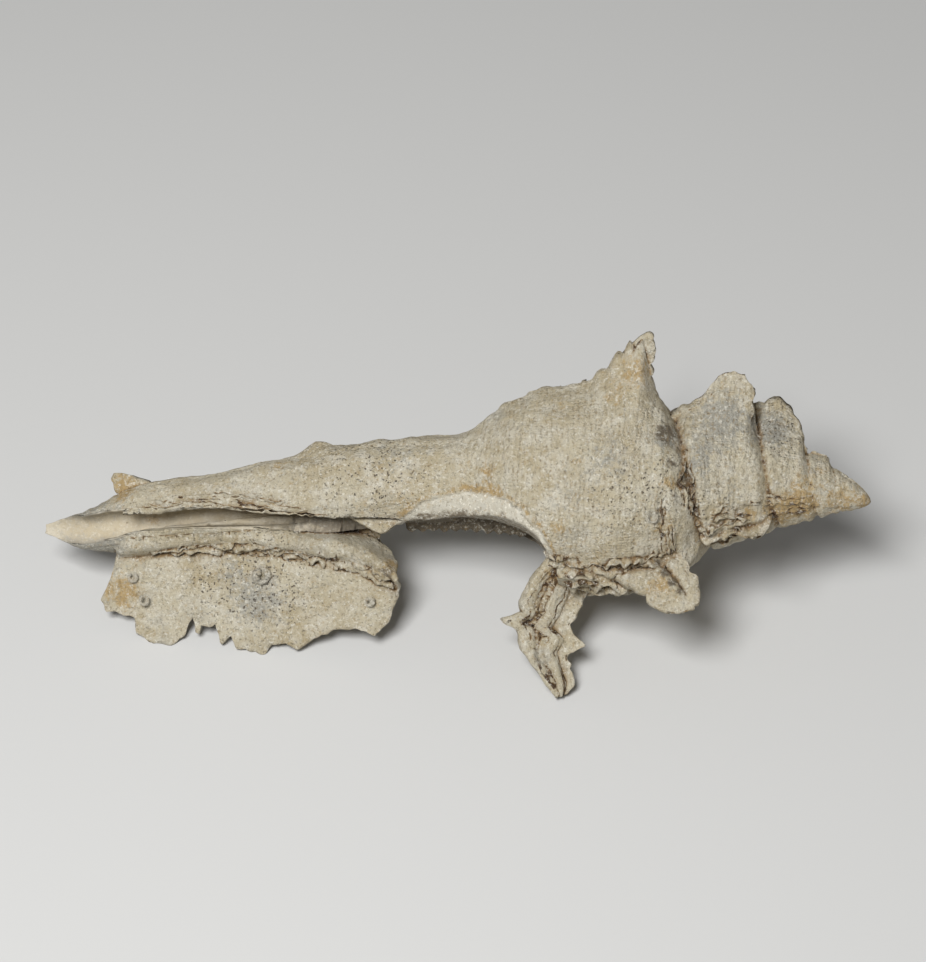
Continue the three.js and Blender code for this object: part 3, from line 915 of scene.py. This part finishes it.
young = np.zeros(count)
for far, height, _, radius, thick in WORM_TUBES:
    away = np.hypot(distance - far, points[:, 2] - height)
    hollow *= 1 - 0.75 * hump(away, 0, 1.05)
    young = np.maximum(young, hump(away, radius, 1.4 * thick))
store("hollow", np.clip(hollow, 0, 1))
store("ochre", np.clip(ochre * (1 - 0.9 * callus) + 0.6 * callus_rim, 0, 1))
store("callus", np.maximum(callus, young))
store("grey", grey)
store("speck", speck * rough_skin)
# Painted shade inside the canal's bore, darker towards the bay.
canal_bore_shade = 0.95 * glazed * fade(-distance, -66, -51)
# Painted shade on the inner face of the far lip, under the arch of the bay.
far_lip_shade = fade(-points[:, 1], 0.4, 1.2) * fade(normals[:, 1], -0.3, 0.3)
far_lip_shade *= fade(distance, 30, 31) * fade(-distance, -48, -47)
# Painted shade on the lower edge of the callus, where it turns under.
callus_underside_shade = 0.75 * callus * fade(points[:, 2], callus_low - 1.0, callus_low + 0.3)
store("dark", np.clip(spots(DARK_SPOTS) + canal_bore_shade + far_lip_shade + callus_underside_shade, 0, 1))
store("ribbed", rough_skin * (1 - 0.65 * np.maximum(fade(distance, 36, 44), fade(out, 11, 13))))
store("rough_skin", rough_skin)
store("shell_place", np.stack([distance + wander, arc, out], -1), "FLOAT_VECTOR")
print("ochre covers", round(float((ochre > 0.5).mean()), 3), "and grey", round(float((grey > 0.5).mean()), 3))

# %% [markdown]
# The frills and the joins leave more faces than the relief needs. Thinning takes them away where the
# surface is flat, and it carries the stored values over.

# %% Fewer faces
MOST_TRIANGLES = 190000
thin = shell.modifiers.new("thin", "DECIMATE")
thin.ratio = MOST_TRIANGLES / sum(len(face.vertices) - 2 for face in mesh.polygons)
apply_step(shell, thin)
mesh = shell.data
print("thinned to", len(mesh.polygons), "faces, with", [layer.name for layer in mesh.attributes])

# %% [markdown]
# ## The finish
# The shell is chalk: dull, rough and slightly uneven in colour down to the grain. One node group mixes its
# colour, painted shade in the hollows included, from noise and the stored masks, and a second makes the fine
# relief: cords, growth lines, grain and pits. Both materials use them with their own values, because skin and
# lining differ in how worn they are and in how much grime and painted shade they get. The groups give colours
# and values, and each material keeps its own shader.

# %% Node helpers
CORD_GAP, GROWTH_GAP = 0.5, 0.33


class Wiring:
    """Adds nodes to one tree. An input may be a constant or another node's output."""

    def __init__(self, tree):
        self.tree = tree

    def add(self, kind, output=0, settings=None, **inputs):
        node = self.tree.nodes.new("ShaderNode" + kind)
        for name, value in (settings or {}).items():
            setattr(node, name, value)
        for name, value in inputs.items():
            socket = node.inputs[int(name[1:]) if name[1:].isdigit() else name.replace("_", " ")]
            if isinstance(value, bpy.types.NodeSocket):
                self.tree.links.new(value, socket)
            else:
                socket.default_value = value
        return node.outputs[output]

    def math(self, operation, a, b=0.0, clamp=False):
        return self.add("Math", settings={"operation": operation, "use_clamp": clamp}, _0=a, _1=b)

    def times(self, a, b, clamp=False):
        return self.math("MULTIPLY", a, b, clamp)

    def plus(self, a, b, clamp=False):
        return self.math("ADD", a, b, clamp)

    def minus(self, a, b):
        return self.math("SUBTRACT", a, b)

    def mix(self, share, a, b):
        return self.add("Mix", 2, {"data_type": "RGBA"}, _0=share, _6=a, _7=b)

    def ramp(self, value, low, high, bottom=0.0, top=1.0):
        steps = {"From_Min": low, "From_Max": high, "To_Min": bottom, "To_Max": top}
        return self.add("MapRange", 0, {"interpolation_type": "SMOOTHSTEP"}, Value=value, **steps)

    def noise(self, place, per_metre, detail=3.0, rough=0.55):
        return self.add("TexNoise", 0, Vector=place, Scale=per_metre, Detail=detail, Roughness=rough)

    def attribute(self, name, output="Fac"):
        return self.add("Attribute", output, {"attribute_name": name})


def borer_pits(w, where, rim, floor, least):
    """Where borers pitted the lime: small uneven cells in patches, most of all in the specked places."""
    wobble = w.add("TexNoise", 1, Vector=where, Scale=2500.0)
    cells = w.add("TexVoronoi", 0, Vector=w.mix(0.0006, where, wobble), Scale=2600.0)
    pits = w.times(w.ramp(cells, rim, floor), w.ramp(w.noise(where, 1300, 3.0), 0.66, 0.5), True)
    return w.times(pits, w.ramp(w.attribute("speck"), 0.1, 0.9, least, 1.0), True)


def growth_drift(w, where):
    """How far the cords stray from even spacing."""
    broad = w.times(w.noise(where, 170, 4.0), 1.6)
    return w.plus(broad, w.times(w.noise(where, 900, 2.0), 0.5))


def new_group(name, inputs, outputs):
    """An empty node group, its wiring, and its inputs and outputs."""
    group = bpy.data.node_groups.new(name, "ShaderNodeTree")
    for label, value in inputs.items():
        socket = group.interface.new_socket(label, in_out="INPUT", socket_type="NodeSocketFloat")
        socket.default_value = value
    for label, kind in outputs.items():
        group.interface.new_socket(label, in_out="OUTPUT", socket_type=kind)
    start, end = group.nodes.new("NodeGroupInput"), group.nodes.new("NodeGroupOutput")
    return group, Wiring(group), start.outputs, end.inputs


# %% Colour of weathered lime, with painted shade
colour_group, w, given, result = new_group(
    "weathered_lime_and_painted_shade", {"Dirt": 1.0, "Wear": 1.0}, {"Color": "NodeSocketColor", "Roughness": "NodeSocketFloat"})
where = w.add("TexCoord", "Object")
broad = w.noise(where, 170, 4.0)
patchy = w.noise(where, 520, 5.0, 0.65)
grain = w.noise(where, 2600, 4.0, 0.7)
lime = w.mix(w.ramp(broad, 0.35, 0.65), (0.51, 0.435, 0.29, 1), (0.6, 0.54, 0.4, 1))
lime = w.mix(w.ramp(patchy, 0.42, 0.68), lime, (0.68, 0.635, 0.52, 1))
mottle = w.minus(w.noise(where, 1500, 5.0, 0.75), 0.5)
chill = w.ramp(w.plus(w.attribute("grey"), w.times(mottle, 2.4)), 0.25, 0.8)
chill = w.plus(chill, w.ramp(w.noise(where, 330, 4.0), 0.56, 0.72, 0, 0.4), True)
lime = w.mix(chill, lime, (0.41, 0.392, 0.335, 1))
rust = w.ramp(w.minus(w.attribute("ochre"), w.times(mottle, 2.6)), 0.3, 0.95)
rust = w.plus(rust, w.ramp(w.noise(where, 260, 5.0, 0.7), 0.58, 0.75, 0, 0.35), True)
lime = w.mix(rust, lime, (0.49, 0.35, 0.17, 1))
# Grime and painted shade: where the shell is closed in, the colour turns brown in patches.
closed = w.times(w.ramp(w.attribute("hollow"), 0.17, 0.55), given["Dirt"], True)
uneven = w.times(closed, w.ramp(patchy, 0.25, 0.55, 0.35, 1.0), True)
lime = w.mix(uneven, lime, (0.3, 0.185, 0.075, 1))
# Painted shade: the deepest hollows turn nearly black.
deep = w.times(w.ramp(w.attribute("hollow"), 0.38, 0.72), given["Dirt"], True)
lime = w.mix(deep, lime, (0.09, 0.05, 0.025, 1))
pits = borer_pits(w, where, 0.3, 0.18, 0.1)
lime = w.mix(w.times(pits, given["Wear"], True), lime, (0.13, 0.11, 0.085, 1))
lime = w.mix(w.times(w.attribute("callus"), 0.66), lime, (0.53, 0.51, 0.445, 1))
# The dark mask darkens the dark spots, and paints shade in the canal's bore, on the far lip and under the
# callus.
stain_and_shade = w.ramp(w.minus(w.attribute("dark"), w.times(mottle, 2.2)), 0.3, 0.9)
lime = w.mix(stain_and_shade, lime, (0.17, 0.14, 0.1, 1))
own = w.add("SeparateXYZ", "X", Vector=w.attribute("shell_place", "Vector"))
furrow = w.plus(own, growth_drift(w, where))
furrow = w.math("SINE", w.times(furrow, 2 * math.pi / CORD_GAP))
furrow = w.times(w.ramp(furrow, 0.1, -1.0), w.attribute("ribbed"), True)
furrow = w.times(furrow, w.ramp(w.noise(where, 1900, 4.0, 0.7), 0.44, 0.62), True)
lime = w.mix(w.times(furrow, w.times(given["Wear"], 0.5)), lime, (0.22, 0.19, 0.14, 1))
# Ochre flecks, dark freckles and white flakes: marks per metre, detail, roughness, ramp, strength, colour.
for fine, detail, rough, low, high, strength, shade in (
    (1900, 5.0, 0.85, 0.53, 0.64, 0.55, (0.4, 0.28, 0.13, 1)),
    (3600, 3.0, 0.8, 0.55, 0.68, 0.75, (0.2, 0.165, 0.11, 1)),
    (2300, 5.0, 0.85, 0.53, 0.63, 0.75, (0.84, 0.81, 0.71, 1)),
):
    marks = w.ramp(w.noise(where, fine, detail, rough), low, high)
    lime = w.mix(w.times(marks, w.times(given["Wear"], strength)), lime, shade)
w.tree.links.new(lime, result["Color"])
dull = w.minus(w.ramp(grain, 0.3, 0.7, 0.78, 0.95), w.ramp(given["Wear"], 1.0, 0.0, 0.0, 0.28))
w.tree.links.new(dull, result["Roughness"])
print("colour group:", len(colour_group.nodes), "nodes")

# %% Fine relief
relief_group, w, given, result = new_group("shell_relief", {"Wear": 1.0}, {"Height": "NodeSocketFloat"})
where = w.add("TexCoord", "Object")
own = w.add("SeparateXYZ", "X", Vector=w.attribute("shell_place", "Vector"))
split = own.node
cord = w.math("SINE", w.times(w.plus(own, growth_drift(w, where)), 2 * math.pi / CORD_GAP))
growth = w.plus(split.outputs["Y"], w.times(w.noise(where, 700, 3.0), 0.5))
growth = w.math("SINE", w.times(growth, 2 * math.pi / GROWTH_GAP))
lines = w.plus(w.times(cord, 0.024), w.times(growth, 0.014))
lines = w.times(lines, w.ramp(w.noise(where, 450, 3.0), 0.38, 0.62, 0.1, 0.9))
lines = w.times(lines, w.attribute("ribbed"))
height = w.plus(lines, w.times(w.noise(where, 1100, 6.0, 0.75), 0.36))
height = w.plus(height, w.times(w.noise(where, 3400, 4.0, 0.8), 0.13))
pits = borer_pits(w, where, 0.34, 0.12, 0.25)
height = w.minus(height, w.times(pits, 0.1))
worn = w.times(given["Wear"], w.ramp(w.attribute("rough_skin"), 0, 1, 0.25, 1))
height = w.times(height, worn)
w.tree.links.new(height, result["Height"])
print("relief group:", len(relief_group.nodes), "nodes")

# %% The two materials
INNER_LIME = (0.46, 0.41, 0.33, 1)


def lime_material(material, dirt, wear, waxy, film=0.0):
    """Chalky shell from the two groups, under a film of inner lime in this share."""
    material.use_nodes = True
    nodes = material.node_tree.nodes
    w = Wiring(material.node_tree)
    shader = nodes["Principled BSDF"]
    colour = w.add("Group", "Color", {"node_tree": colour_group}, Dirt=dirt, Wear=wear)
    rough = colour.node.outputs["Roughness"]
    height = w.add("Group", "Height", {"node_tree": relief_group}, Wear=wear)
    bump = w.add("Bump", "Normal", Height=height, Distance=0.0014, Strength=1.0)
    w.tree.links.new(w.mix(film, colour, INNER_LIME), shader.inputs["Base Color"])
    w.tree.links.new(rough, shader.inputs["Roughness"])
    w.tree.links.new(bump, shader.inputs["Normal"])
    shader.inputs["Specular IOR Level"].default_value = waxy
    material.diffuse_color = (0.6, 0.55, 0.43, 1)


lime_material(skin, dirt=1.0, wear=1.0, waxy=0.3)
lime_material(lining, dirt=0.5, wear=0.6, waxy=0.4, film=0.4)
print("materials:", [material.name for material in mesh.materials])

# %% [markdown]
# ## Floor, light and camera
# The shell lies on a plain pale floor under one soft lamp and an even sky, so its own relief makes the
# shading, together with the shade painted into its colour. The camera looks down at 45 degrees with a long
# lens, which keeps the spire and canal in proportion.

# %% Floor, light and camera
mesh.transform(lay_down)
laid = mesh_values(mesh.vertices, "co")
laid[:, 2] = np.maximum(laid[:, 2], 0)
mesh.vertices.foreach_set("co", laid.ravel())
mesh.shade_smooth()
mesh.update()
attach(shell, "root")
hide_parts("murex_shell")

paper = bpy.data.materials.new("pale_paper")
paper.use_nodes = True
paper.node_tree.nodes["Principled BSDF"].inputs["Base Color"].default_value = (0.62, 0.62, 0.61, 1)
paper.node_tree.nodes["Principled BSDF"].inputs["Roughness"].default_value = 0.9
floor = mesh_object("floor", [(-2, -2, 0), (2, -2, 0), (2, 2, 0), (-2, 2, 0)], [(0, 1, 2, 3)], paper)
camera = bpy.data.objects.new("camera", bpy.data.cameras.new("camera"))
bpy.context.scene.collection.objects.link(camera)
camera.data.lens = 130
target = Vector((0.98, 1.6, 14.7)) * MM
elevation = math.radians(45)
camera.location = target + Vector((0, -math.cos(elevation), math.sin(elevation))) * 0.347
camera.rotation_euler = (target - camera.location).to_track_quat("-Z", "Y").to_euler()
bpy.context.scene.camera = camera
lamp = bpy.data.objects.new("key", bpy.data.lights.new("key", "AREA"))
lamp.data.size, lamp.data.energy = 0.15, 2.1
lamp.location = (-0.1, -0.22, 0.38)
lamp.rotation_euler = (Vector((0, 0, 0.01)) - lamp.location).to_track_quat("-Z", "Y").to_euler()
bpy.context.scene.collection.objects.link(lamp)
world = bpy.data.worlds.new("studio")
world.use_nodes = True
world.node_tree.nodes["Background"].inputs["Color"].default_value = (0.88, 0.87, 0.85, 1)
world.node_tree.nodes["Background"].inputs["Strength"].default_value = 0.19
bpy.context.scene.world = world
bpy.context.scene.view_settings.view_transform = "Standard"
